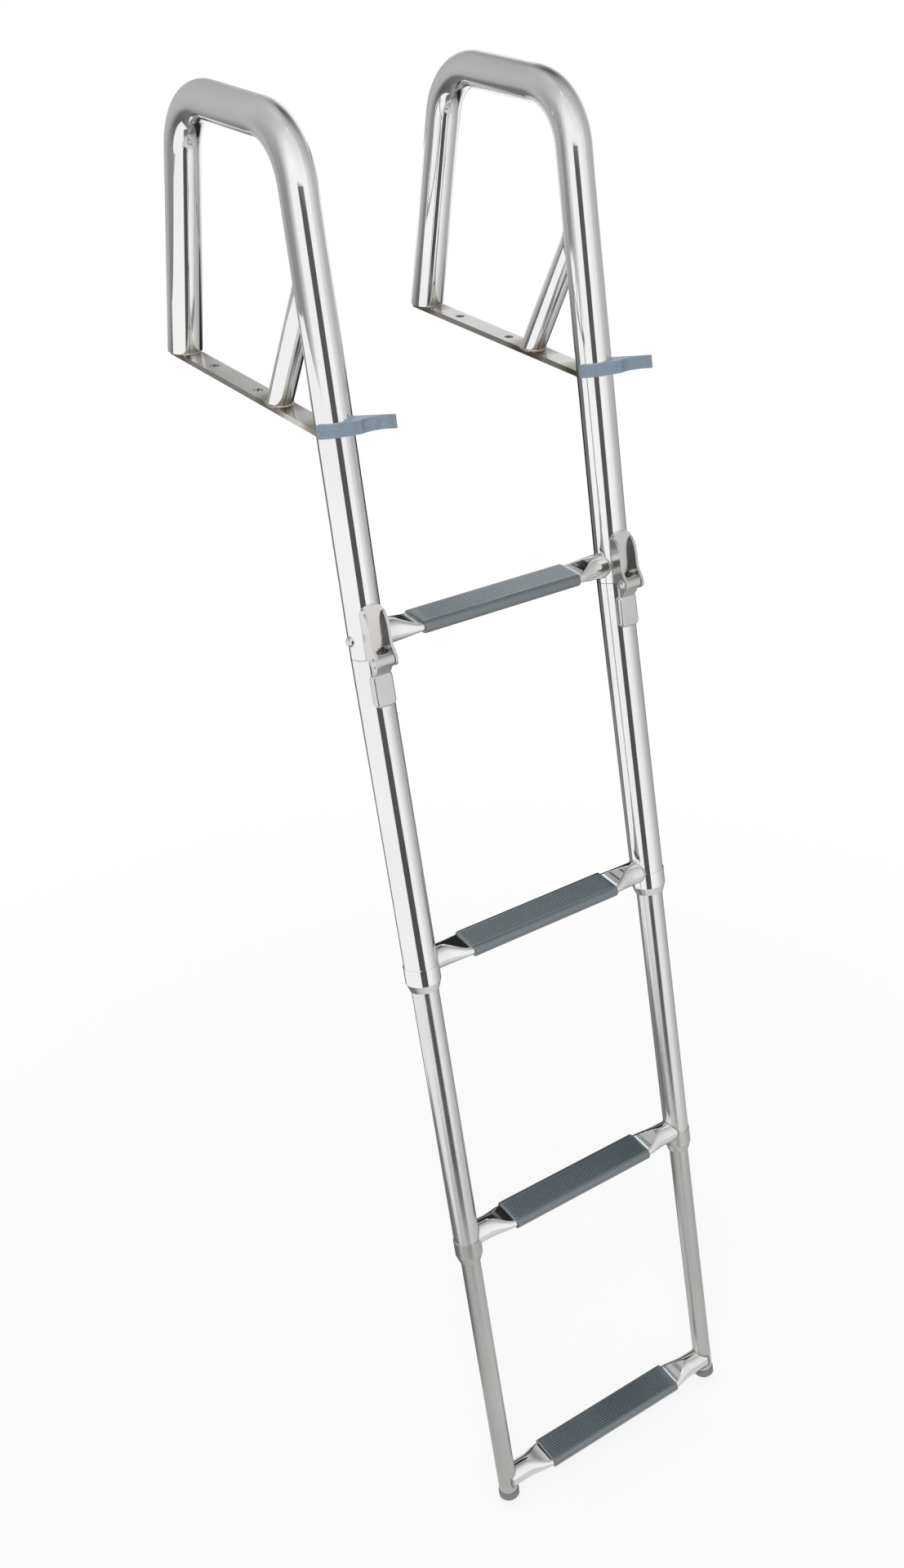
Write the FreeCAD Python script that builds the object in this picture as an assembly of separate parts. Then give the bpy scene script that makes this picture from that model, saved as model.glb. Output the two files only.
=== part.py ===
import FreeCAD, Part
import math
import os

# Folding, telescoping boarding ladder with two handrail loops. Millimetres.
# X runs from the left rail to the right rail, Y from the ladder towards the boat, Z up.
# The origin is on the underside of the left base bar, midway between its two bolt holes.

V = FreeCAD.Vector

# Overall layout
rail_spacing = 267.0        # left rail axis to right rail axis
holes_to_rail = 168.0       # middle of the bolt holes to the rail axis, at the top of the bar
holes_to_leg = 97.5         # middle of the bolt holes to the back leg axis, at the top of the bar
joint_drop = 183.2          # top of the bar down to the folding joint
rail_tilt = 12.74           # lean of the handrail front leg from vertical, degrees
leg_tilt = 9.15             # lean of the handrail back leg from vertical, degrees
lower_tilt = 14.65          # lean of the folding part from vertical, degrees

# Tubes
rail_od = 31.75
rail_wall = 1.65
section_1_od = rail_od      # the same tube stock, butted at the folding joint
section_2_od = 25.4
section_3_od = 19.05
section_wall = 1.65
brace_od = 22.2
brace_wall = 1.5
step_od = 22.2
step_wall = 1.5

# Handrail loop
loop_height = 226.0         # top of the bar to the axis of the grip
loop_bend_r = 54.0

# Base bar
bar_width = 20.0
bar_thickness = 5.0
bar_overrun = 13.0          # bar past the axis of the back leg
bar_corner_r = 3.0
hole_r = 4.25
hole_spacing = 80.0

# Brace between the base bar and the front leg
brace_foot = 90.6           # rail axis to the foot of the brace, at the top of the bar
brace_rise = 125.0          # top of the bar to where the brace axis meets the rail axis

# Steps
step_flat = 7.5             # thickness of the tube where it is pressed flat
step_round_end = 22.0       # rail axis to where the flattening begins
step_press = 28.0           # length over which the tube goes from round to flat
step_1_rise = 16.3          # folding joint up to the first step, along the rail
step_2_at = 291.7           # folding joint down to the second step, along the rail
step_3_at = 588.4
step_4_at = 882.8

# Tread pads
pad_length = rail_spacing - 2 * (step_round_end + step_press)
pad_wall = 2.0
pad_lip = 7.0
pad_corner_r = 2.4
pad_fit = 0.05

# Telescoping sections
collar_length = 24.0
collar_wall = 0.7
collar_lip = 10.0           # depth of the solid nose below the end of the larger tube
collar_nose = 8.0           # length over which the nose tapers
collar_taper = 2.7
collar_past_step = 13.2     # bottom of the step tube to the bottom of the collar
section_overlap = 58.0      # top of a smaller tube above the bottom of the collar it hangs in
guide_length = 14.0         # guide ring on the top end of a smaller tube
guide_gap = 0.25
slide_gap = 0.1
end_gap = 0.4
cap_length = 12.0
cap_wall = 1.0
cap_past_step = 2.0
cap_dome = 6.0

# Hinges between the two halves
pivot_proud = 8.625         # pivot in front of the rail's surface
pin_r = 3.0
pin_gap = 0.1
pin_head_r = 4.6
pin_head_t = 2.2
knuckle_r = 5.5
knuckle_width = 15.0
ear_r = 6.5
ear_t = 2.6                 # thickness of the bracket's two side walls
ear_gap = 0.3               # knuckle to wall, each side
bracket_top = 47.0          # folding joint up to the top of the bracket
bracket_corner_r = 7.5
bracket_proud = 2.6         # front plate of the bracket in front of the rail
bracket_foot = 9.5          # folding joint up to the lower end of the front plate
wall_top = 44.0             # where the side walls start to stand out from the rail
wall_curve = ((-10.0, 43.3), (-5.0, 40.3), (-1.6, 35.0), (0.1, 28.0), (0.5, 20.0), (1.1, 13.0), (3.4, 7.5))
leaf_width = 20.4
leaf_from = 12.5            # folding joint down to the top of the wide part of the leaf
leaf_down = 43.0            # folding joint down to the end of the leaf
leaf_proud = 2.7
leaf_corner_r = 5.0
leaf_edge_r = 2.6           # rounding of the leaf's front edge
neck_down = 15.0            # folding joint down to the foot of the knuckle's neck
neck_front = 3.8            # most the neck stands in front of the pivot, and its depth there
neck_bump = 3.2

# Button heads of the bolts that hold the first step
button_r = 5.0
button_t = 4.0

# Rail clips
clip_rise = 4.5             # top of the bar to the middle of the clip, along the rail
clip_height = 11.0
clip_wall = 3.3
clip_gap = 0.1
clip_cradle_gap = 0.3
clip_near_end = 112.0       # angle from straight ahead to the grip's end on the near side, degrees
clip_far_end = 90.0         # the same on the far side
clip_turn = 29.0            # how far the clip stands turned from straight ahead, degrees
clip_near = 1.0             # how far the hook reaches to the near side of its middle line
clip_tip = 75.0             # angle from straight ahead to the tip of the hook, degrees
clip_lip = 1.0              # thickness of the web at the near lip of the hook
clip_end_r = 1.2            # rounding of the upright edges

rail_r = rail_od / 2
pivot_offset = rail_r + pivot_proud
step_r = step_od / 2
a = math.radians(rail_tilt)
b = math.radians(lower_tilt)
c = math.radians(leg_tilt)
up = V(0, math.sin(a), math.cos(a))
front = V(0, -math.cos(a), math.sin(a))
down = V(0, -math.sin(b), -math.cos(b))
front_low = V(0, -math.cos(b), math.sin(b))
X = V(1, 0, 0)
Y = V(0, 1, 0)
Z = V(0, 0, 1)


def deck(x):
    return V(x, -holes_to_rail, bar_thickness)


def joint(x):
    return deck(x) - up * (joint_drop / math.cos(a))


def pivot(x):
    return joint(x) + front * pivot_offset


def low(x, s):
    return joint(x) + down * s


def rod(p, q, r):
    return Part.makeCylinder(r, (q - p).Length, p, q - p)


def pipe(p, q, r_out, r_in):
    return rod(p, q, r_out).cut(rod(p - (q - p), q + (q - p), r_in))


def frame_at(origin, ex, ey, ez):
    m = FreeCAD.Matrix(ex.x, ey.x, ez.x, origin.x,
                       ex.y, ey.y, ez.y, origin.y,
                       ex.z, ey.z, ez.z, origin.z,
                       0, 0, 0, 1)
    return FreeCAD.Placement(m)


def place(shape, placement):
    out = shape.copy()
    out.Placement = placement.multiply(out.Placement)
    return out


def block(x0, x1, y0, y1, z0, z1):
    return Part.makeBox(x1 - x0, y1 - y0, z1 - z0, V(x0, y0, z0))


def polygon(points, height, base=0.0):
    pts = [V(p[0], p[1], base) for p in points]
    face = Part.Face(Part.makePolygon(pts + [pts[0]]))
    return face.extrude(V(0, 0, height))


nodes = {}


# Handrail: one bent tube from the back foot, over the grip and down to the folding joint

def bend(corner, to_a, to_b, radius):
    half = math.acos(max(-1.0, min(1.0, to_a.dot(to_b)))) / 2
    run = radius / math.tan(half)
    middle = (to_a + to_b).normalize()
    centre = corner + middle * (radius / math.sin(half))
    start = corner + to_a * run
    end = corner + to_b * run
    mid = centre - middle * radius
    return start, mid, end


def handrail(x):
    leg_foot = V(x, holes_to_leg, bar_thickness)
    leg_up = V(0, -math.sin(c), math.cos(c))
    back_corner = leg_foot + leg_up * (loop_height / math.cos(c))
    front_corner = deck(x) + up * (loop_height / math.cos(a))
    back_bend = bend(back_corner, leg_up * -1, Y * -1, loop_bend_r)
    front_bend = bend(front_corner, Y, up * -1, loop_bend_r)
    foot = leg_foot - leg_up * rail_od
    tip = joint(x) + up * (end_gap / 2)
    edges = [Part.LineSegment(foot, back_bend[0]).toShape(),
             Part.Arc(*back_bend).toShape(),
             Part.LineSegment(back_bend[2], front_bend[0]).toShape(),
             Part.Arc(*front_bend).toShape(),
             Part.LineSegment(front_bend[2], tip).toShape()]
    path = Part.Wire(edges)
    outer = path.makePipeShell([Part.Wire(Part.Circle(foot, leg_up, rail_r).toShape())], True, True)
    bore = Part.Wire(Part.Circle(foot, leg_up, rail_r - rail_wall).toShape())
    inner = path.makePipeShell([bore], True, True)
    tube = outer.cut(inner)
    wide = 2 * rail_od
    under = block(x - wide, x + wide, holes_to_leg - wide, holes_to_leg + wide, -3 * rail_od, bar_thickness)
    return tube.cut(under)


def rail_core(x):
    return rod(joint(x), deck(x) + up * (brace_rise * 1.5), rail_r)


def base_bar(x):
    length_back = holes_to_leg + bar_overrun
    bar = block(x - bar_width / 2, x + bar_width / 2, -holes_to_rail, length_back, 0, bar_thickness)
    ends = [e for e in bar.Edges
            if abs(e.CenterOfMass.y - length_back) < 0.01 and abs(e.tangentAt(0).z) > 0.99]
    bar = bar.makeFillet(bar_corner_r, ends)
    bar = bar.cut(rail_core(x))
    for y in (-hole_spacing / 2, hole_spacing / 2):
        bar = bar.cut(rod(V(x, y, -1), V(x, y, bar_thickness + 1), hole_r))
    return bar


def brace(x):
    foot = V(x, -holes_to_rail + brace_foot, bar_thickness)
    top = deck(x) + up * (brace_rise / math.cos(a))
    run = (top - foot).normalize()
    tube = pipe(foot - run * brace_od, top, brace_od / 2, brace_od / 2 - brace_wall)
    tube = tube.cut(rail_core(x))
    wide = 3 * brace_od
    under = block(x - wide, x + wide, foot.y - wide, foot.y + wide, -wide, bar_thickness)
    return tube.cut(under)


# Steps: a round tube pressed flat under the pad, coped to the rails at both ends

def obround(x, centre, width, thick):
    r = thick / 2
    h = max(width - thick, 0.2) / 2
    y, z = centre.y, centre.z
    top = Part.LineSegment(V(x, y - h, z + r), V(x, y + h, z + r)).toShape()
    back = Part.Arc(V(x, y + h, z + r), V(x, y + h + r, z), V(x, y + h, z - r)).toShape()
    under = Part.LineSegment(V(x, y + h, z - r), V(x, y - h, z - r)).toShape()
    fore = Part.Arc(V(x, y - h, z - r), V(x, y - h - r, z), V(x, y - h, z + r)).toShape()
    return Part.Wire([top, back, under, fore])


def pressed_width(thick, od):
    return thick + math.pi * (od - thick) / 2


def pressed_tube(centre, inset):
    flat_from = step_round_end + step_press
    stations = [0.0, step_round_end]
    blends = [0.0, 0.0]
    for k in (0.2, 0.4, 0.6, 0.8, 1.0):
        stations.append(step_round_end + step_press * k)
        blends.append(k * k * (3 - 2 * k))
    parts = []
    for mirror in (False, True):
        wires = []
        for s, k in zip(stations, blends):
            thick = step_od + (step_flat - step_od) * k
            wide = pressed_width(thick, step_od)
            x = rail_spacing - s if mirror else s
            wires.append(obround(x, centre, wide - 2 * inset, thick - 2 * inset))
        plain = Part.makeLoft(wires[:2], True, True)
        shaped = Part.makeLoft(wires[1:], True, False)
        parts += [plain, shaped]
    wide = pressed_width(step_flat, step_od)
    middle = Part.Face(obround(flat_from, centre, wide - 2 * inset, step_flat - 2 * inset))
    parts.append(middle.extrude(X * (rail_spacing - 2 * flat_from)))
    body = parts[0]
    for p in parts[1:]:
        body = body.fuse(p)
    return body


def step_tube(centre, cores):
    tube = pressed_tube(centre, 0.0).cut(pressed_tube(centre, step_wall))
    for core in cores:
        tube = tube.cut(core)
    return biggest(tube)


def biggest(shape):
    return max(shape.Solids, key=lambda s: s.Volume)


def step_pad(centre):
    wide = pressed_width(step_flat, step_od)
    half = wide / 2 + pad_wall
    high = step_flat / 2 + pad_wall
    x0 = (rail_spacing - pad_length) / 2
    skin = block(x0, x0 + pad_length, centre.y - half, centre.y + half, centre.z - high, centre.z + high)
    skin = skin.makeFillet(pad_corner_r, [e for e in skin.Edges if abs(e.tangentAt(0).x) > 0.99])
    hollow = Part.Face(obround(x0 - 1, centre, wide + 2 * pad_fit, step_flat + 2 * pad_fit))
    skin = skin.cut(hollow.extrude(X * (pad_length + 2)))
    slot = block(x0 - 1, x0 + pad_length + 1, centre.y - half + pad_lip, centre.y + half - pad_lip,
                 centre.z - high - 1, centre.z)
    return skin.cut(slot)


# Telescoping sections with a collar that closes the lower end of each larger tube

def collar_end(step_at):
    return step_at + step_r / math.cos(b) + collar_past_step


def section_tube(x, od, s_top, s_end):
    return pipe(low(x, s_top), low(x, s_end), od / 2, od / 2 - section_wall)


def guided_tube(x, od, outer_od, s_top, s_end):
    """A section tube with a guide ring round its top end, which runs in the larger tube."""
    ring_r = outer_od / 2 - section_wall - guide_gap
    ring = pipe(low(x, s_top), low(x, s_top + guide_length), ring_r, od / 2 - section_wall)
    return section_tube(x, od, s_top, s_end).fuse(ring).removeSplitter()


def collar(x, od, next_od, s_end):
    r_out = od / 2 + collar_wall
    s_top = s_end - collar_length
    body = rod(low(x, s_top), low(x, s_end - collar_nose), r_out)
    nose = Part.makeCone(r_out, r_out - collar_taper, collar_nose, low(x, s_end - collar_nose), down)
    body = body.fuse(nose).removeSplitter()
    body = body.cut(rod(low(x, s_top - 1), low(x, s_end - collar_lip), od / 2))
    return body.cut(rod(low(x, s_top - 1), low(x, s_end + 1), next_od / 2 + slide_gap))


def end_cap(x, s_start):
    """A cup turned about the tube's axis, with a domed end."""
    r = section_3_od / 2 + cap_wall
    bore = section_3_od / 2
    straight = cap_length - cap_dome
    ball_r = (r * r + cap_dome * cap_dome) / (2 * cap_dome)
    half_way = math.asin(r / ball_r) / 2

    def at(radius, s):
        return low(x, s_start + s) + X * radius

    mid = at(ball_r * math.sin(half_way), cap_length - ball_r + ball_r * math.cos(half_way))
    corners = [at(0, cap_length), at(0, straight), at(bore, straight), at(bore, 0), at(r, 0), at(r, straight)]
    edges = [Part.LineSegment(p, q).toShape() for p, q in zip(corners, corners[1:])]
    edges.append(Part.Arc(at(r, straight), mid, at(0, cap_length)).toShape())
    return Part.Face(Part.Wire(edges)).revolve(low(x, s_start), down, 360)


# Hinges: a bracket with two ears on the upper tube, a knuckle leaf on the lower tube, one pin

def side_profile(points, x0, x1, origin, ahead, along):
    pts = [origin + ahead * p[0] + along * p[1] for p in points]
    pts = [V(x0, p.y, p.z) for p in pts]
    face = Part.Face(Part.makePolygon(pts + [pts[0]]))
    return face.extrude(X * (x1 - x0))


def point_on(x, origin, ahead, along, p):
    q = origin + ahead * p[0] + along * p[1]
    return V(x, q.y, q.z)


def hinge_bracket(x):
    inside = knuckle_width / 2 + ear_gap
    half = inside + ear_t
    o = joint(x)
    p = pivot(x)
    face = rail_r + bracket_proud
    root = rail_r * 0.5
    plate = [(root, bracket_foot), (face, bracket_foot), (face, bracket_top), (root, bracket_top)]
    body = side_profile(plate, x - half, x + half, o, front, up)
    for x0 in (x - half, x + inside):
        fore = (pivot_offset + ear_r, end_gap)
        start = (root, wall_top)
        between = [(pivot_offset + ahead, rise) for ahead, rise in reversed(wall_curve)]
        curve = Part.BSplineCurve()
        curve.interpolate([point_on(x0, o, front, up, q) for q in [fore] + between + [start]])
        foot = point_on(x0, o, front, up, (root, end_gap))
        edges = [Part.LineSegment(foot, point_on(x0, o, front, up, fore)).toShape(), curve.toShape(),
                 Part.LineSegment(point_on(x0, o, front, up, start), foot).toShape()]
        wall = Part.Face(Part.Wire(edges)).extrude(X * ear_t)
        body = body.fuse(wall).fuse(Part.makeCylinder(ear_r, ear_t, V(x0, p.y, p.z), X))
    outline = block(-half, half, 0, pivot_offset + 2 * ear_r, -2 * ear_r, bracket_top)
    corners = [e for e in outline.Edges if abs(e.tangentAt(0).y) > 0.99 and e.CenterOfMass.z > 0]
    outline = outline.makeFillet(bracket_corner_r, corners)
    body = body.common(place(outline, frame_at(o, X * -1, front, up)))
    body = body.cut(rail_core(x))
    body = body.cut(rod(p - X * rail_od, p + X * rail_od, pin_r))
    return biggest(body.removeSplitter())


def hinge_leaf(x):
    half = leaf_width / 2
    neck = knuckle_width / 2
    o = joint(x)
    p = pivot(x)
    face = rail_r + leaf_proud
    root = rail_r * 0.5
    bump = pivot_offset + neck_front
    pad = block(-half, half, 0, face, leaf_from, leaf_down)
    pad = pad.makeFillet(leaf_corner_r, [e for e in pad.Edges if abs(e.tangentAt(0).y) > 0.99])
    pad = pad.makeFillet(leaf_edge_r, [e for e in pad.Edges if abs(e.CenterOfMass.y - face) < 0.01])
    pad = place(pad, frame_at(o, X, front_low, down))
    outline = [(root, end_gap), (pivot_offset, end_gap), (bump, neck_bump), (face - 0.6, neck_down),
               (root, neck_down)]
    shoulder = side_profile(outline, x - neck, x + neck, o, front_low, down)
    knuckle = Part.makeCylinder(knuckle_r, knuckle_width, V(x - neck, p.y, p.z), X)
    body = pad.fuse(shoulder).fuse(knuckle)
    body = body.cut(rod(o - down * leaf_down, o + down * 2 * leaf_down, rail_r))
    body = body.cut(rod(p - X * rail_od, p + X * rail_od, pin_r + pin_gap))
    return biggest(body.removeSplitter())


def dome(base, direction, r, height):
    ball_r = (r * r + height * height) / (2 * height)
    ball = Part.makeSphere(ball_r, base - direction * (ball_r - height))
    return ball.common(rod(base, base + direction * (height + 1), r))


def hinge_pin(x):
    half = knuckle_width / 2 + ear_gap + ear_t
    p = pivot(x)
    body = rod(p - X * half, p + X * half, pin_r)
    for d in (X, X * -1):
        body = body.fuse(dome(p + d * half, d, pin_head_r, pin_head_t))
    return body.removeSplitter()


def step_button(x, centre, outward):
    foot = V(x, centre.y, centre.z)
    body = dome(foot + outward * (rail_r - 0.6), outward, button_r, button_t)
    return body.cut(rod(joint(x), deck(x), rail_r))


# Clips: a grip round the rail and a hook that takes the folded rail

def clip_free_edge(p, reach, shell_r, arm_r):
    """True for the upright edges at the two ends of the grip and at the tip of the hook."""
    angle = math.degrees(math.atan2(p.y, p.x))
    on_grip = math.hypot(p.x, p.y) < shell_r + 0.1
    at_grip_end = on_grip and (abs(angle + clip_near_end) < 1 or abs(angle - clip_far_end) < 1)
    tip_angle = math.degrees(math.atan2(p.y, p.x - reach))
    at_tip = math.hypot(p.x - reach, p.y) < arm_r + 0.1 and abs(tip_angle - clip_tip) < 1
    return at_grip_end or at_tip


def rail_clip(x):
    grip_r = rail_r + clip_gap
    shell_r = grip_r + clip_wall
    reach = 2 * pivot_offset - (joint_drop / math.cos(a) + clip_rise) * math.tan(b - a)
    cradle_r = section_1_od / 2 + clip_cradle_gap
    arm_r = cradle_r + clip_wall
    h = clip_height
    far = 3 * arm_r
    tip = math.radians(clip_tip)
    arm = Part.makeCylinder(arm_r, h, V(reach, 0, 0))
    arm = arm.common(polygon([(reach, -clip_near), (reach + far * math.cos(tip), far * math.sin(tip)),
                              (reach - far, far * math.sin(tip)), (reach - far, -clip_near)], h))
    lip = V(reach - cradle_r + clip_lip, -clip_near, 0)
    touch = math.atan2(lip.y, lip.x) - math.acos(shell_r / lip.Length)
    web = polygon([(0, 0), (shell_r * math.cos(touch), shell_r * math.sin(touch)), (lip.x, lip.y),
                   (reach, -clip_near), (reach, arm_r), (0, shell_r)], h)
    body = Part.makeCylinder(shell_r, h).fuse(arm).fuse(web)
    body = body.cut(Part.makeCylinder(grip_r, h + 2, V(0, 0, -1)))
    body = body.cut(Part.makeCylinder(cradle_r, h + 2, V(reach, 0, -1)))
    near = math.radians(-clip_near_end)
    wide = math.radians(clip_far_end)
    mouth = polygon([(0, 0), (far * math.cos(near), far * math.sin(near)), (-far, 0),
                     (far * math.cos(wide) - 0.001, far * math.sin(wide))], h + 2, -1)
    body = biggest(body.cut(mouth).removeSplitter())
    upright = [e for e in body.Edges if e.Vertexes[0].Point.sub(e.Vertexes[-1].Point).Length > h - 0.01
               and abs(e.tangentAt(0).z) > 0.99]
    ends = [e for e in upright if clip_free_edge(e.CenterOfMass, reach, shell_r, arm_r)]
    body = body.makeFillet(clip_end_r, ends)
    t = math.radians(clip_turn)
    ahead = front * math.cos(t) + X * math.sin(t)
    aside = up.cross(ahead)
    middle = deck(x) + up * clip_rise
    return place(body, frame_at(middle - up * (h / 2), ahead, aside, up))


sides = (("left", 0.0, X * -1), ("right", rail_spacing, X))
step_1 = joint(0) + up * step_1_rise
lower_steps = {"2": step_2_at, "3": step_3_at, "4": step_4_at}
ends_1 = collar_end(step_2_at)
ends_2 = collar_end(step_3_at)
cap_start = step_4_at + step_r / math.cos(b) + cap_past_step
top_2 = ends_1 - section_overlap
top_3 = ends_2 - section_overlap

rail_cores = [rail_core(x) for name, x, out in sides]
nodes["step_1_tube"] = step_tube(step_1, rail_cores)
nodes["step_1_pad"] = step_pad(step_1)

tube_r = {"2": section_1_od / 2, "3": section_2_od / 2, "4": section_3_od / 2}
sleeve_r = {"2": section_1_od / 2 + collar_wall, "3": section_2_od / 2 + collar_wall, "4": section_3_od / 2}
sleeve_at = {"2": ends_1 - collar_length, "3": ends_2 - collar_length, "4": cap_start}
for number, s in lower_steps.items():
    cores = []
    for name, x, out in sides:
        cores.append(rod(low(x, s - 3 * step_od), low(x, s + 3 * step_od), tube_r[number]))
        cores.append(rod(low(x, sleeve_at[number]), low(x, s + 3 * step_od), sleeve_r[number]))
    centre = low(0, s)
    nodes["step_%s_tube" % number] = step_tube(centre, cores)
    nodes["step_%s_pad" % number] = step_pad(centre)

for name, x, out in sides:
    nodes[name + "_handrail"] = handrail(x)
    nodes[name + "_base_bar"] = base_bar(x)
    nodes[name + "_brace"] = brace(x)
    nodes[name + "_rail_clip"] = rail_clip(x)
    nodes[name + "_hinge_bracket"] = hinge_bracket(x)
    nodes[name + "_hinge_pin"] = hinge_pin(x)
    nodes[name + "_hinge_leaf"] = hinge_leaf(x)
    nodes[name + "_step_button"] = step_button(x, step_1, out)
    first = section_tube(x, section_1_od, -rail_r, ends_1 - collar_lip)
    top_face = joint(x) - up * (end_gap / 2)
    above = Part.makeCylinder(2 * rail_od, 2 * rail_od, top_face, up)
    nodes[name + "_section_1_tube"] = first.cut(above)
    nodes[name + "_section_1_collar"] = collar(x, section_1_od, section_2_od, ends_1)
    nodes[name + "_section_2_tube"] = guided_tube(x, section_2_od, section_1_od, top_2, ends_2 - collar_lip)
    nodes[name + "_section_2_collar"] = collar(x, section_2_od, section_3_od, ends_2)
    cap_seat = cap_start + cap_length - cap_dome
    nodes[name + "_section_3_tube"] = guided_tube(x, section_3_od, section_2_od, top_3, cap_seat)
    nodes[name + "_end_cap"] = end_cap(x, cap_start)

os.makedirs("parts", exist_ok=True)
for name, shape in sorted(nodes.items()):
    solids = shape.Solids
    if len(solids) == 1:
        shape = solids[0]
    box = shape.BoundBox
    print("%-24s %d solid, valid %s, %9.1f mm3, x %.1f..%.1f y %.1f..%.1f z %.1f..%.1f" % (
        name, len(solids), shape.isValid(), shape.Volume,
        box.XMin, box.XMax, box.YMin, box.YMax, box.ZMin, box.ZMax))
    shape.exportStep("parts/%s.step" % name)
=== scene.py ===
import math
import bpy
import bmesh
from mathutils import Matrix, Vector


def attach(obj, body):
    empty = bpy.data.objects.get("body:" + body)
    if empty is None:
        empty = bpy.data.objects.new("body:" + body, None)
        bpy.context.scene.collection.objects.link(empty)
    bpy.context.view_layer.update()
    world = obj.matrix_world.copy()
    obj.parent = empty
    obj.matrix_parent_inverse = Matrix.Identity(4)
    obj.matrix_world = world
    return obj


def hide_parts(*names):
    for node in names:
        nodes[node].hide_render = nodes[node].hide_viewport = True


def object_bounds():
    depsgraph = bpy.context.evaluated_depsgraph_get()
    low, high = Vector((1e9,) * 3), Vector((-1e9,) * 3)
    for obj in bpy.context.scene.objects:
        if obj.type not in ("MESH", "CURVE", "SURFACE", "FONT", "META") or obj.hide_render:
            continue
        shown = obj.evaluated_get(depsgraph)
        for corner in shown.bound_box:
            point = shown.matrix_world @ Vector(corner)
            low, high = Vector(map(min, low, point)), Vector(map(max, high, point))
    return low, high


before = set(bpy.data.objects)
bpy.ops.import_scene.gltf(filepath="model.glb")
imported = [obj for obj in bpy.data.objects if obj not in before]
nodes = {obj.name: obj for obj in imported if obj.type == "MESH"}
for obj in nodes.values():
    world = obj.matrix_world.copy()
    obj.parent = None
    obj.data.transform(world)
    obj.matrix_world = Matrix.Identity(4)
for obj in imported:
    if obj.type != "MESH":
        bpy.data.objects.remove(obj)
cad_low, cad_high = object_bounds()

# Sizes in metres, the same as in the part's source
MM = 0.001
rail_spacing = 267 * MM
holes_to_rail = 168 * MM
holes_to_leg = 97.5 * MM
bar_top = 5 * MM
bar_half = 10 * MM
joint_drop = 183.2 * MM
rail_lean = math.radians(12.74)
leg_lean = math.radians(9.15)
lower_lean = math.radians(14.65)
rail_r = 15.875 * MM
tube_2_r = 12.7 * MM
tube_3_r = 9.525 * MM
brace_r = 11.1 * MM
brace_foot = 90.6 * MM
brace_rise = 125 * MM
step_r = 11.1 * MM
step_flat = 7.5 * MM
step_rise = 16.3 * MM
step_at = {2: 291.7 * MM, 3: 588.4 * MM, 4: 882.8 * MM}
pad_length = 167 * MM
pad_wall = 2 * MM
pad_lip = 7 * MM

# Sizes of what only the scene has
pad_edge_r = 5.2 * MM
pad_gap = 0.06 * MM         # between the pad and the flattened tube
rib_count = 9
rib_depth = 0.13 * MM
step_bead = 1.25 * MM       # half width of each weld bead
brace_foot_bead = 1.5 * MM
brace_top_bead = 1.4 * MM
leg_bead = 1.5 * MM
bar_bead = 1.4 * MM

X = Vector((1, 0, 0))
Z = Vector((0, 0, 1))
up = Vector((0, math.sin(rail_lean), math.cos(rail_lean)))
front = Vector((0, -math.cos(rail_lean), math.sin(rail_lean)))
down = Vector((0, -math.sin(lower_lean), -math.cos(lower_lean)))
front_low = Vector((0, -math.cos(lower_lean), math.sin(lower_lean)))
leg_up = Vector((0, -math.sin(leg_lean), math.cos(leg_lean)))
sides = (("left", 0.0, -1), ("right", rail_spacing, 1))


def deck(x):
    """Where a rail's axis passes the top of the base bar."""
    return Vector((x, -holes_to_rail, bar_top))


def joint(x):
    """Where the hanging part's tube meets the rail."""
    return deck(x) - up * (joint_drop / math.cos(rail_lean))


step_centre = {1: joint(0) + up * step_rise}
for number, s in step_at.items():
    step_centre[number] = joint(0) + down * s

# Each step's body, and the axis, front and radius of the tubes that carry it
carriers = {1: ("frame", up, front, rail_r), 2: ("section_1", down, front_low, rail_r),
            3: ("section_2", down, front_low, tube_2_r), 4: ("section_3", down, front_low, tube_3_r)}


# Shader nodes

def new_material(name):
    m = bpy.data.materials.new(name)
    m.use_nodes = True
    tree = m.node_tree
    return m, tree, tree.nodes["Principled BSDF"]


def link(tree, a, b):
    tree.links.new(a, b)


def coordinates(tree, lean, stretch):
    """Object coordinates turned so that Z runs along a tube that leans, then drawn out along it."""
    tex = tree.nodes.new("ShaderNodeTexCoord")
    mapping = tree.nodes.new("ShaderNodeMapping")
    mapping.vector_type = "TEXTURE"
    mapping.inputs["Rotation"].default_value = (-lean, 0, 0)
    mapping.inputs["Scale"].default_value = stretch
    link(tree, tex.outputs["Object"], mapping.inputs["Vector"])
    return mapping.outputs["Vector"]


def noise(tree, vector, scale, detail=4.0, rough=0.55):
    n = tree.nodes.new("ShaderNodeTexNoise")
    n.inputs["Scale"].default_value = scale
    n.inputs["Detail"].default_value = detail
    n.inputs["Roughness"].default_value = rough
    link(tree, vector, n.inputs["Vector"])
    return n.outputs["Fac"]


def spread(tree, value, low_in, high_in, low_out, high_out):
    r = tree.nodes.new("ShaderNodeMapRange")
    r.inputs["From Min"].default_value = low_in
    r.inputs["From Max"].default_value = high_in
    r.inputs["To Min"].default_value = low_out
    r.inputs["To Max"].default_value = high_out
    link(tree, value, r.inputs["Value"])
    return r.outputs["Result"]


def tint(tree, value, dark, light):
    ramp = tree.nodes.new("ShaderNodeValToRGB")
    ramp.color_ramp.elements[0].position = 0.3
    ramp.color_ramp.elements[1].position = 0.7
    ramp.color_ramp.elements[0].color = (*dark, 1)
    ramp.color_ramp.elements[1].color = (*light, 1)
    link(tree, value, ramp.inputs["Fac"])
    return ramp.outputs["Color"]


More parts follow.
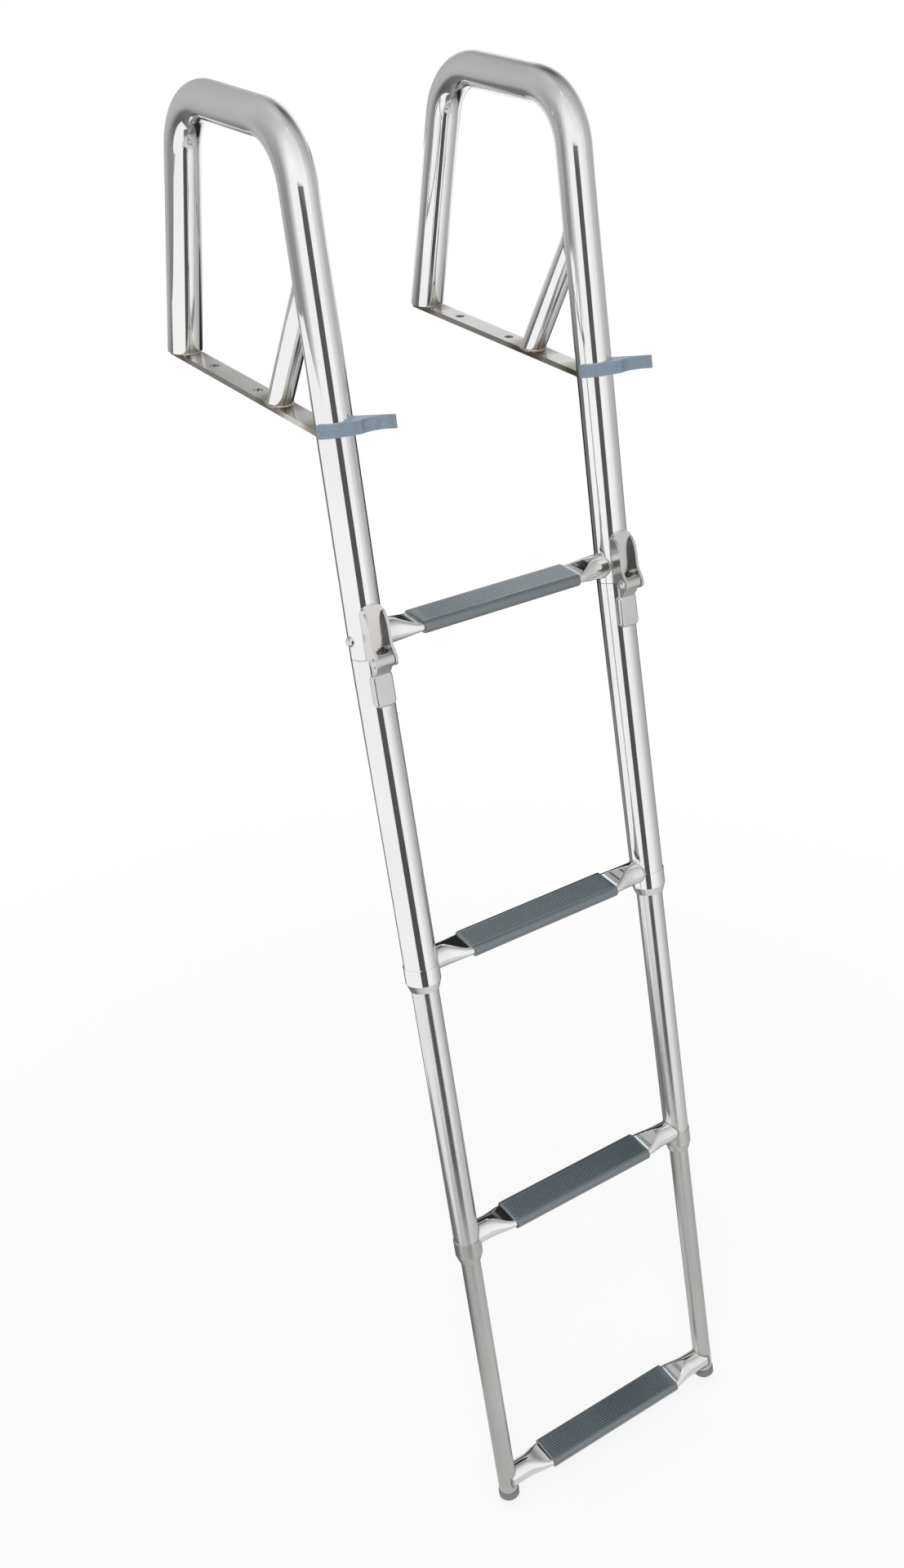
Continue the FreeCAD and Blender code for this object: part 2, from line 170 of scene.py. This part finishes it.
def bump(tree, value, strength, distance):
    b = tree.nodes.new("ShaderNodeBump")
    b.inputs["Strength"].default_value = strength
    b.inputs["Distance"].default_value = distance
    link(tree, value, b.inputs["Height"])
    return b.outputs["Normal"]


def combine(tree, operation, a, b):
    """A sum, product or the like of a socket and a second socket or number."""
    node = tree.nodes.new("ShaderNodeMath")
    node.operation = operation
    link(tree, a, node.inputs[0])
    if isinstance(b, float):
        node.inputs[1].default_value = b
    else:
        link(tree, b, node.inputs[1])
    return node.outputs[0]


def distance_from(tree, vector, place):
    away = tree.nodes.new("ShaderNodeVectorMath")
    away.operation = "DISTANCE"
    away.inputs[1].default_value = place
    link(tree, vector, away.inputs[0])
    return away.outputs["Value"]


def glow(tree, kind, colour, strength):
    """An emission or a background node, whose strength is 1 for white."""
    node = tree.nodes.new(kind)
    node.inputs["Color"].default_value = (*colour, 1)
    node.inputs["Strength"].default_value = strength
    return node


def shader_mix(tree, share, first, second):
    mix = tree.nodes.new("ShaderNodeMixShader")
    link(tree, share, mix.inputs["Fac"])
    link(tree, first, mix.inputs[1])
    link(tree, second, mix.inputs[2])
    return mix.outputs["Shader"]


# Materials

def steel(name, lean, dark, light, rough, line_bump, lengthwise=True):
    """Stainless steel with polishing lines along the tube, handling haze and a slight unevenness of tone."""
    m, tree, bsdf = new_material(name)
    lines = coordinates(tree, lean, (1, 1, 60) if lengthwise else (1, 1, 1))
    even = coordinates(tree, lean, (1, 1, 1))
    fine = noise(tree, lines, 2600, 3.0)
    haze = noise(tree, even, 34, 5.0)
    cloud = noise(tree, even, 9, 2.0)
    bsdf.inputs["Metallic"].default_value = 1.0
    link(tree, tint(tree, cloud, dark, light), bsdf.inputs["Base Color"])
    link(tree, spread(tree, haze, 0.3, 0.7, *rough), bsdf.inputs["Roughness"])
    link(tree, bump(tree, fine, line_bump, 0.00006), bsdf.inputs["Normal"])
    return m


def heat_tint_and_painted_shade(name, tint_and_shade_places):
    """The bar's brushed steel, with a dark brown bloom round each weld place, out to its radius: partly heat
    tint and partly painted shade in the joint.
    """
    m = steel(name, 0.0, (0.57, 0.56, 0.53), (0.66, 0.65, 0.62), (0.13, 0.20), 0.2, lengthwise=False)
    tree = m.node_tree
    base = tree.nodes["Principled BSDF"].inputs["Base Color"]
    here = tree.nodes.new("ShaderNodeTexCoord").outputs["Object"]
    wander = 12 * MM
    uneven = combine(tree, "MULTIPLY", noise(tree, here, 160, 3.0), wander)
    colour = base.links[0].from_socket
    for place, radius in tint_and_shade_places:
        reach = combine(tree, "ADD", uneven, distance_from(tree, here, place))
        near = spread(tree, reach, radius * 0.55 + wander / 2, radius + wander / 2, 0.8, 0.0)
        mix = tree.nodes.new("ShaderNodeMix")
        mix.data_type = "RGBA"
        # Dark brown of the bloom: heat tint, and painted shade where the tube meets the bar.
        mix.inputs["B"].default_value = (0.17, 0.125, 0.085, 1)
        link(tree, near, mix.inputs["Factor"])
        link(tree, colour, mix.inputs["A"])
        colour = mix.outputs["Result"]
    link(tree, colour, base)
    return m


def rubber(name, dark, light, rough, grain_scale, grain_bump, coat=0.0):
    """Moulded vinyl, nylon or rubber: fine grain, faint flow streaks along X and a worn, uneven sheen."""
    m, tree, bsdf = new_material(name)
    streaks = coordinates(tree, 0, (14, 1, 1))
    even = coordinates(tree, 0, (1, 1, 1))
    flow = noise(tree, streaks, 420, 3.0)
    grain = noise(tree, even, grain_scale, 4.0, 0.6)
    wear = noise(tree, even, 28, 4.0)
    link(tree, tint(tree, flow, dark, light), bsdf.inputs["Base Color"])
    link(tree, spread(tree, wear, 0.3, 0.7, *rough), bsdf.inputs["Roughness"])
    link(tree, bump(tree, grain, grain_bump, 0.00012), bsdf.inputs["Normal"])
    bsdf.inputs["Sheen Weight"].default_value = 0.1
    bsdf.inputs["Sheen Roughness"].default_value = 0.4
    bsdf.inputs["Coat Weight"].default_value = coat
    bsdf.inputs["Coat Roughness"].default_value = 0.1
    bsdf.inputs["Coat IOR"].default_value = 2.3
    return m


mirror = steel("polished_steel_upper", rail_lean, (0.84, 0.84, 0.84), (0.90, 0.90, 0.89), (0.05, 0.10), 0.08)
# The lower sections' base colours grow darker down the ladder: painted shade, for the light that falls off
# towards the bottom. The rougher finish of sections 2 and 3 is real.
mirror_low_painted_darker = steel("polished_steel_lower", lower_lean, (0.82, 0.82, 0.82), (0.88, 0.88, 0.87),
                   (0.06, 0.12), 0.10)
soft_low_painted_darker = steel("soft_polished_steel_lower_painted_darker", lower_lean, (0.72, 0.72, 0.715), (0.78, 0.78, 0.77),
                 (0.17, 0.22), 0.14)
satin_low_painted_darker = steel("satin_steel_lower_painted_darker", lower_lean, (0.56, 0.56, 0.55), (0.64, 0.64, 0.62), (0.22, 0.30), 0.18)
cast = steel("polished_casting", rail_lean, (0.62, 0.61, 0.60), (0.74, 0.73, 0.72), (0.13, 0.22), 0.06,
             lengthwise=False)
bead_metal = steel("weld_steel", 0.0, (0.34, 0.31, 0.28), (0.60, 0.58, 0.55), (0.22, 0.42), 0.3,
                   lengthwise=False)
pad_vinyl = rubber("slate_vinyl", (0.029, 0.055, 0.068), (0.035, 0.064, 0.079), (0.36, 0.46), 5200, 0.05,
                   coat=1.0)
clip_nylon = rubber("gray_nylon", (0.205, 0.265, 0.325), (0.255, 0.320, 0.385), (0.36, 0.50), 3600, 0.2)
cap_rubber = rubber("gray_rubber", (0.200, 0.198, 0.192), (0.270, 0.267, 0.260), (0.40, 0.60), 4200, 0.3)


def finish_node(name, material):
    slots = nodes[name].data.materials
    if len(slots) == 0:
        slots.append(material)
    for k in range(len(slots)):
        slots[k] = material


finishes = {
    "handrail": mirror, "brace": mirror,
    "hinge_bracket": cast, "hinge_pin": cast, "hinge_leaf": cast, "step_button": cast,
    "rail_clip": clip_nylon, "end_cap": cap_rubber,
    "section_1_tube": mirror_low_painted_darker, "section_1_collar": mirror_low_painted_darker,
    "section_2_tube": soft_low_painted_darker, "section_2_collar": satin_low_painted_darker, "section_3_tube": satin_low_painted_darker,
}
for side, x, out in sides:
    for part, material in finishes.items():
        finish_node(side + "_" + part, material)
    # Places of the dark brown bloom on the bar, at the brace's foot, the front leg and the back leg's foot:
    # heat tint and painted shade in these joints.
    tint_and_shade_places = (((x, -holes_to_rail + brace_foot, bar_top), 32 * MM),
             ((x, -holes_to_rail + rail_r / 2, bar_top), 34 * MM),
             ((x, holes_to_leg - rail_r / 2, bar_top), 26 * MM))
    finish_node(side + "_base_bar", heat_tint_and_painted_shade(side + "_brushed_steel_bar", tint_and_shade_places))
for number in carriers:
    finish_node("step_%d_tube" % number, mirror)
    finish_node("step_%d_pad" % number, pad_vinyl)


# Mesh pieces

def add_piece(name, verts, faces, material, body):
    mesh = bpy.data.meshes.new(name)
    mesh.from_pydata([tuple(v) for v in verts], [], faces)
    mesh.update()
    bm = bmesh.new()
    bm.from_mesh(mesh)
    bmesh.ops.recalc_face_normals(bm, faces=bm.faces)
    bm.to_mesh(mesh)
    bm.free()
    for p in mesh.polygons:
        p.use_smooth = True
    obj = bpy.data.objects.new(name, mesh)
    bpy.context.scene.collection.objects.link(obj)
    mesh.materials.append(material)
    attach(obj, body)
    return obj


def ring_faces(first, second, count):
    """The band of faces between two rings of points, given by the number of each ring's first point."""
    faces = []
    for j in range(count):
        n = (j + 1) % count
        faces.append((first + j, first + n, second + n, second + j))
    return faces


# Weld beads

def resample(path, pitch, closed):
    """Points an even pitch apart along a fine line of points."""
    pts = path + [path[0]] if closed else path
    run = [0.0]
    for p, q in zip(pts, pts[1:]):
        run.append(run[-1] + (q - p).length)
    count = max(8, round(run[-1] / pitch))
    out = []
    k = 0
    for n in range(count if closed else count + 1):
        s = run[-1] * n / count
        while k < len(run) - 2 and run[k + 1] < s:
            k += 1
        t = (s - run[k]) / max(run[k + 1] - run[k], 1e-9)
        out.append(pts[k].lerp(pts[k + 1], t))
    return out


def weld(name, path, outward, body, size, closed=True):
    """A bead laid along a joint: overlapping scales of metal, each a little lower at its leading edge."""
    pitch = 0.45 * MM
    pts = resample(path, pitch, closed)
    count = len(pts)
    around = 10
    scale_length = 2.3 * MM
    verts = []
    faces = []
    for k, p in enumerate(pts):
        ahead = pts[(k + 1) % count] if closed or k + 1 < count else p
        behind = pts[k - 1] if closed or k > 0 else p
        along = (ahead - behind).normalized()
        away = outward(p)
        away = (away - along * away.dot(along)).normalized()
        across = along.cross(away)
        phase = (k * pitch / scale_length + 0.13 * math.sin(k * 0.21)) % 1.0
        swell = 0.86 + 0.2 * math.sqrt(phase) - (0.1 if phase > 0.9 else 0.0)
        swell *= 1 + 0.06 * math.sin(k * 0.137 + 1.1)
        if not closed:
            swell *= min(1.0, 0.35 + 0.22 * min(k, count - 1 - k))
        for j in range(around):
            t = 2 * math.pi * j / around
            lag = along * (-0.35 * size * max(math.cos(t), 0))
            height = away * (math.cos(t) * size * 0.62 * swell)
            breadth = across * (math.sin(t) * size * swell)
            verts.append(p + height + breadth + lag)
    for k in range(count if closed else count - 1):
        faces += ring_faces(k * around, (k + 1) % count * around, around)
    if not closed:
        faces.append(tuple(range(around)))
        faces.append(tuple((count - 1) * around + j for j in reversed(range(around))))
    add_piece(name, verts, faces, bead_metal, body)


def away_from_line(point, direction):
    def outward(p):
        v = p - point
        return (v - direction * v.dot(direction)).normalized()
    return outward


def upward(p):
    return Z


def blended(f, g):
    return lambda p: (f(p) + g(p)).normalized()


def step_weld(number, side, x, out):
    """Where a step tube's round end meets the tube that carries it."""
    body, axis, ahead, radius = carriers[number]
    centre = step_centre[number]
    path = []
    for k in range(120):
        t = 2 * math.pi * k / 120
        p = centre + Vector((0, math.cos(t) * step_r, math.sin(t) * step_r))
        w = (p - joint(x)).dot(ahead)
        reach = math.sqrt(max(radius * radius - w * w, 0.0))
        path.append(Vector((x - out * reach, p.y, p.z)))
    off_step = away_from_line(Vector((x, centre.y, centre.z)), X)
    outward = blended(off_step, away_from_line(joint(x), axis))
    weld("%s_step_%d_weld" % (side, number), path, outward, body, step_bead)


def brace_welds(side, x):
    """Round the brace's foot on the base bar, and round its top on the front leg."""
    foot = Vector((x, -holes_to_rail + brace_foot, bar_top))
    top = deck(x) + up * (brace_rise / math.cos(rail_lean))
    run = (top - foot).normalized()
    side_way = run.cross(X).normalized()
    foot_path = []
    top_path = []
    for k in range(120):
        t = 2 * math.pi * k / 120
        p = foot + X * (math.cos(t) * brace_r) + side_way * (math.sin(t) * brace_r)
        foot_path.append(p + run * ((bar_top - p.z) / run.z))
        w = (p - deck(x)).dot(front)
        reach = -math.sqrt(max(rail_r ** 2 - (p.x - x) ** 2, 0.0))
        top_path.append(p + run * ((reach - w) / run.dot(front)))
    off_brace = away_from_line(foot, run)
    off_rail = away_from_line(deck(x), up)
    weld(side + "_brace_foot_weld", foot_path, blended(off_brace, upward), "frame", brace_foot_bead)
    weld(side + "_brace_top_weld", top_path, blended(off_brace, off_rail), "frame", brace_top_bead)


def leg_weld(side, x):
    """Along the front of the back leg's foot, across the base bar."""
    leg_foot = Vector((x, holes_to_leg, bar_top))
    side_way = leg_up.cross(X)
    arc = []
    for k in range(160):
        t = 2 * math.pi * k / 160
        p = leg_foot + X * (math.cos(t) * rail_r) + side_way * (math.sin(t) * rail_r)
        p = p + leg_up * ((bar_top - p.z) / leg_up.z)
        if abs(p.x - x) < bar_half and p.y < holes_to_leg:
            arc.append(p)
    arc.sort(key=lambda p: p.x)
    outward = blended(away_from_line(leg_foot, leg_up), upward)
    weld(side + "_leg_front_weld", arc, outward, "frame", leg_bead, closed=False)


def bar_weld(side, x):
    """Round the base bar, where it ends on the back of the front leg."""
    steps = 40
    path = []
    for z, way in ((0.0, 1), (bar_top, -1)):
        for k in range(steps + 1):
            dx = -bar_half + 2 * bar_half * k / steps
            reach = math.sqrt(rail_r ** 2 - dx ** 2) / math.cos(rail_lean)
            y = deck(x).y + (z - bar_top) * math.tan(rail_lean) + reach
            path.append(Vector((x + way * dx, y, z)))

    def off_bar(p):
        return Vector((p.x - x, 0, p.z - bar_top / 2)).normalized()

    weld(side + "_bar_weld", path, blended(away_from_line(deck(x), up), off_bar), "frame", bar_bead)


for number in carriers:
    for side, x, out in sides:
        step_weld(number, side, x, out)
for side, x, out in sides:
    brace_welds(side, x)
    leg_weld(side, x)
    bar_weld(side, x)


# Tread pads: a C of vinyl with fine ribs along its top, drawn over the flattened tube

def pad_profile():
    """Outline of the pad's section as (y, z) about its centre: round the outside, then back inside."""
    wide = step_flat + math.pi * (2 * step_r - step_flat) / 2
    half = wide / 2 + pad_wall
    high = step_flat / 2 + pad_wall
    r = pad_edge_r
    corners = ((half - r, -high + r, -90), (half - r, high - r, 0),
               (-half + r, high - r, 90), (-half + r, -high + r, 180))
    outer = [(half - pad_lip, -high)]
    for n, (cy, cz, start) in enumerate(corners):
        for k in range(9):
            t = math.radians(start + 90 * k / 8)
            outer.append((cy + r * math.cos(t), cz + r * math.sin(t)))
        if n == 1:
            run = 2 * (half - r)
            steps = rib_count * 8
            for k in range(1, steps):
                phase = (k % 8) / 8
                groove = rib_depth * (0.5 + 0.5 * math.cos(2 * math.pi * phase)) ** 3
                outer.append((half - r - run * k / steps, high - groove))
    outer.append((-half + pad_lip, -high))
    inner_r = step_flat / 2 + pad_gap
    h = (wide - step_flat) / 2
    inner = [(-half + pad_lip, -inner_r)]
    for centre, start in ((-h, -90), (h, 90)):
        for k in range(17):
            t = math.radians(start - 180 * k / 16)
            inner.append((centre + inner_r * math.cos(t), inner_r * math.sin(t)))
    inner.append((half - pad_lip, -inner_r))
    return outer + inner


def shrink(profile, amount):
    """The outline drawn in along its own normals."""
    out = []
    count = len(profile)
    for k, p in enumerate(profile):
        q, s = profile[(k + 1) % count], profile[k - 1]
        ty, tz = q[0] - s[0], q[1] - s[1]
        size = math.hypot(ty, tz) or 1.0
        out.append((p[0] - tz / size * amount, p[1] + ty / size * amount))
    return out


def pad(number):
    """A tread, with the edges of its two ends rounded by drawing the outline in."""
    rounding = ((0.0, 0.42 * MM), (0.1 * MM, 0.18 * MM), (0.3 * MM, 0.04 * MM), (0.6 * MM, 0.0))
    stations = list(rounding)
    stations += [(pad_length * k / 24, 0.0) for k in range(1, 24)]
    stations += [(pad_length - s, inset) for s, inset in reversed(rounding)]
    profile = pad_profile()
    count = len(profile)
    centre = step_centre[number]
    start = (rail_spacing - pad_length) / 2
    verts = []
    faces = []
    for s, inset in stations:
        for y, z in shrink(profile, inset):
            verts.append(Vector((start + s, centre.y + y, centre.z + z)))
    for k in range(len(stations) - 1):
        faces += ring_faces(k * count, (k + 1) * count, count)
    faces.append(tuple(range(count)))
    faces.append(tuple((len(stations) - 1) * count + j for j in reversed(range(count))))
    body = carriers[number][0]
    obj = add_piece("step_%d_tread" % number, verts, faces, pad_vinyl, body)
    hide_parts("step_%d_pad" % number)


for number in carriers:
    pad(number)


# Camera, solved from the photograph

focal_px = 2024.54
photo_height_px = 1920
camera_turn = math.radians(-34.59)
camera_rise = math.radians(32.1)
aim_below_deck = 183.2297 * MM
eye_left = 16.04565 * MM
eye_down = 167.40075 * MM
eye_back = 1492.69855 * MM
right_way = Vector((math.cos(camera_turn), math.sin(camera_turn), 0))
level_back = Vector((math.sin(camera_turn), -math.cos(camera_turn), 0))
back_way = level_back * math.cos(camera_rise) + Z * math.sin(camera_rise)
up_way = back_way.cross(right_way)
aim = deck(rail_spacing / 2) - Z * aim_below_deck
eye = aim - right_way * eye_left - up_way * eye_down + back_way * eye_back
camera = bpy.data.cameras.new("camera")
camera.sensor_width = 36
camera.lens = camera.sensor_width * focal_px / photo_height_px
camera.clip_start = 0.05
camera.clip_end = 100
camera_object = bpy.data.objects.new("camera", camera)
bpy.context.scene.collection.objects.link(camera_object)
turn = Matrix((right_way, up_way, back_way)).transposed().to_4x4()
camera_object.matrix_world = Matrix.Translation(eye) @ turn
bpy.context.scene.camera = camera_object


# Floor

def staged(name, verts, faces):
    mesh = bpy.data.meshes.new(name)
    mesh.from_pydata([tuple(v) for v in verts], [], faces)
    obj = bpy.data.objects.new(name, mesh)
    bpy.context.scene.collection.objects.link(obj)
    return obj


def background_ray(tree):
    """1 for the rays that see the white background: camera, transmission and glossy rays."""
    path = tree.nodes.new("ShaderNodeLightPath")
    seen = combine(tree, "MAXIMUM", path.outputs["Is Camera Ray"], path.outputs["Is Transmission Ray"])
    return combine(tree, "MAXIMUM", seen, path.outputs["Is Glossy Ray"])


def floor_material():
    """A pale floor that takes the shadow near the ladder and fades to white away from it."""
    m, tree, bsdf = new_material("pale_floor")
    bsdf.inputs["Base Color"].default_value = (0.82, 0.82, 0.82, 1)
    bsdf.inputs["Roughness"].default_value = 0.9
    here = tree.nodes.new("ShaderNodeTexCoord").outputs["Object"]
    away = distance_from(tree, here, (0.13, -0.3, floor_z))
    fade = spread(tree, away, 0.3, 1.2, 0.84, 1.0)
    share = combine(tree, "MULTIPLY", background_ray(tree), fade)
    white = glow(tree, "ShaderNodeEmission", (1, 1, 1), 1.0)
    shader = shader_mix(tree, share, bsdf.outputs["BSDF"], white.outputs["Emission"])
    link(tree, shader, tree.nodes["Material Output"].inputs["Surface"])
    return m


floor_z = cad_low.z - 3 * MM
floor_r = 1.5
floor_centre = Vector((0.13, -0.2, floor_z))
ring = 96
verts = [floor_centre]
for k in range(ring):
    t = 2 * math.pi * k / ring
    verts.append(floor_centre + Vector((math.cos(t), math.sin(t), 0)) * floor_r)
floor = staged("floor", verts, [(0, 1 + k, 1 + (k + 1) % ring) for k in range(ring)])
floor.data.materials.append(floor_material())


# The studio that the polished tubes mirror. Only reflections see it, and 1 is white.

def card(name, verts, faces, tones, colour=(1, 1, 1)):
    """A staged sheet that glows, with its brightness given at each of its points."""
    obj = staged(name, verts, faces)
    tone = obj.data.attributes.new("tone", "FLOAT", "POINT")
    tone.data.foreach_set("value", tones)
    m, tree, bsdf = new_material(name)
    tree.nodes.remove(bsdf)
    light = glow(tree, "ShaderNodeEmission", colour, 1.0)
    read = tree.nodes.new("ShaderNodeAttribute")
    read.attribute_name = "tone"
    link(tree, read.outputs["Fac"], light.inputs["Strength"])
    link(tree, light.outputs["Emission"], tree.nodes["Material Output"].inputs["Surface"])
    obj.data.materials.append(m)
    obj.visible_camera = False
    obj.visible_diffuse = False
    obj.visible_transmission = False
    obj.visible_shadow = False


def blend_entries(entries, pitch):
    """Entries of a place and its values, filled in between at an even pitch."""
    out = []
    for first, second in zip(entries, entries[1:]):
        steps = max(1, round((second[0] - first[0]) / pitch))
        for n in range(steps):
            w = n / steps
            out.append(tuple(p + (q - p) * w for p, q in zip(first, second)))
    out.append(tuple(entries[-1]))
    return out


studio_centre = Vector((0.13, -0.25, -0.35))
dome_r = 1.45


def around_studio(bearing, radius, z):
    """A place by its compass bearing in degrees: 0 is towards the front and 90 to the right."""
    t = math.radians(bearing)
    return Vector((studio_centre.x + math.sin(t) * radius, studio_centre.y - math.cos(t) * radius, z))


def studio_dome():
    """Each row is a bearing and the brightness at each of the elevations, all in degrees."""
    elevations = (-45, -6, 5, 18, 31, 36, 43, 58, 88)
    dome = ((-180, 0.20, 0.20, 0.50, 0.50, 0.48, 0.46, 0.46, 0.50, 0.60),
            (-150, 0.14, 0.16, 0.44, 0.50, 0.52, 0.52, 0.52, 0.50, 0.60),
            (-135, 0.10, 0.12, 0.28, 0.34, 0.40, 0.44, 0.46, 0.50, 0.60),
            (-106, 0.16, 0.24, 0.28, 0.30, 0.34, 0.38, 0.42, 0.60, 0.65),
            (-88, 0.60, 0.60, 0.60, 0.60, 0.64, 0.70, 0.74, 0.78, 0.70),
            (-74, 1.0, 1.0, 1.0, 1.0, 1.0, 1.0, 1.0, 0.92, 0.75),
            (12, 1.0, 1.0, 1.0, 1.0, 1.0, 1.0, 1.0, 0.92, 0.75),
            (34, 0.84, 0.84, 0.84, 0.84, 0.84, 0.84, 0.84, 0.80, 0.70),
            (50, 0.68, 0.68, 0.68, 0.68, 0.68, 0.68, 0.68, 0.64, 0.65),
            (68, 0.52, 0.52, 0.52, 0.52, 0.52, 0.52, 0.52, 0.52, 0.60),
            (98, 0.36, 0.40, 0.45, 0.45, 0.45, 0.44, 0.42, 0.42, 0.60),
            (122, 0.14, 0.14, 0.50, 0.60, 0.80, 0.65, 0.40, 0.20, 0.60),
            (134, 0.10, 0.10, 0.50, 0.80, 1.0, 0.90, 0.42, 0.10, 0.60),
            (150, 0.10, 0.10, 0.50, 0.80, 1.0, 0.90, 0.42, 0.10, 0.60),
            (155, 0.10, 0.10, 0.48, 0.40, 0.70, 0.65, 0.40, 0.20, 0.60),
            (168, 0.16, 0.16, 0.50, 0.46, 0.44, 0.44, 0.44, 0.46, 0.60),
            (180, 0.20, 0.20, 0.50, 0.50, 0.48, 0.46, 0.46, 0.50, 0.60))
    columns = blend_entries(dome, 3)
    verts = []
    tones = []
    for column in columns:
        for elevation, level in blend_entries(list(zip(elevations, column[1:])), 6):
            t = math.radians(elevation)
            z = studio_centre.z + dome_r * math.sin(t)
            verts.append(around_studio(column[0], dome_r * math.cos(t), z))
            tones.append(level)
    rows = len(verts) // len(columns)
    faces = [(k * rows + j, (k + 1) * rows + j, (k + 1) * rows + j + 1, k * rows + j + 1)
             for k in range(len(columns) - 1) for j in range(rows - 1)]
    card("studio_dome", verts, faces, tones)


def studio_floor():
    """The floor as reflections see it: a brightness for each bearing, evened out towards the middle."""
    floor_tones = ((-180, 0.30), (-145, 0.12), (-95, 0.14), (-70, 0.55), (-35, 0.70), (10, 0.74), (60, 0.60),
                   (100, 0.34), (125, 0.12), (158, 0.12), (180, 0.30))
    inner_r = 0.05
    outer_r = 1.41
    z = floor_z + 2 * MM
    verts = []
    tones = []
    for bearing, level in blend_entries(floor_tones, 5):
        verts += [around_studio(bearing, inner_r, z), around_studio(bearing, outer_r, z)]
        tones += [0.1 + level * 0.8, level]
    faces = [(2 * k, 2 * k + 2, 2 * k + 3, 2 * k + 1) for k in range(len(verts) // 2 - 1)]
    card("studio_floor", verts, faces, tones)


def upright_card(name, left, right, levels, colour=(1, 1, 1)):
    """A card that stands between two places, with its brightness at each height."""
    verts = []
    tones = []
    for z, level in levels:
        verts += [left + Z * z, right + Z * z]
        tones += [level, level]
    faces = [(2 * k, 2 * k + 1, 2 * k + 3, 2 * k + 2) for k in range(len(levels) - 1)]
    card(name, verts, faces, tones, colour)


studio_dome()
studio_floor()

# A dark card by the camera, whose reflection is the dark line along every tube
dark_middle = Vector((-0.30, -1.18, 0))
dark_half = Vector((0.90, -0.44, 0)) * 0.31
upright_card("dark_card", dark_middle - dark_half, dark_middle + dark_half,
             ((floor_z, 0.075), (0.38, 0.10), (0.47, 0.36), (0.54, 1.0)))

# A white card away on the left, bent once
verts = []
for x, y in ((-0.46, -0.52), (-0.46, 0.08), (-0.14, 0.16)):
    verts += [Vector((x, y, floor_z)), Vector((x, y, 0))]
card("white_card", verts, [(0, 2, 3, 1), (2, 4, 5, 3)], [1.0] * len(verts))

# A card behind on the right. Each tread down the ladder mirrors a lower and darker part of it.
upright_card("tread_card", Vector((0.663, 0.038, 0)), Vector((0.171, 0.382, 0)),
             ((-0.55, 0.02), (-0.16, 0.02), (-0.115, 0.06), (-0.095, 0.25), (-0.03, 0.68), (0.04, 1.0),
              (0.12, 1.0)), (0.95, 0.98, 1.0))


# World and lamps

def light_world():
    """White for the rays that see the background, and a softer white as light on the ladder."""
    world = bpy.data.worlds.new("studio")
    bpy.context.scene.world = world
    world.use_nodes = True
    tree = world.node_tree
    tree.nodes.clear()
    output = tree.nodes.new("ShaderNodeOutputWorld")
    soft = glow(tree, "ShaderNodeBackground", (1, 1, 1), 0.55)
    white = glow(tree, "ShaderNodeBackground", (1, 1, 1), 1.0)
    shader = shader_mix(tree, background_ray(tree), soft.outputs[0], white.outputs[0])
    link(tree, shader, output.inputs["Surface"])


lamp_size = 1.4
lamp_target = Vector((0.13, -0.2, -0.4))


def lamp(name, place, power):
    """A square lamp that faces the middle of the ladder."""
    data = bpy.data.lights.new(name, "AREA")
    data.shape = "SQUARE"
    data.size = lamp_size
    data.energy = power
    obj = bpy.data.objects.new(name, data)
    bpy.context.scene.collection.objects.link(obj)
    obj.location = place
    obj.rotation_mode = "QUATERNION"
    obj.rotation_quaternion = (lamp_target - Vector(place)).to_track_quat("-Z", "Y")


light_world()
lamp("key", (-1.2, -1.6, 1.9), 30)
lamp("above", (0.2, 0.5, 2.6), 24)

bpy.context.scene.view_settings.view_transform = "Standard"
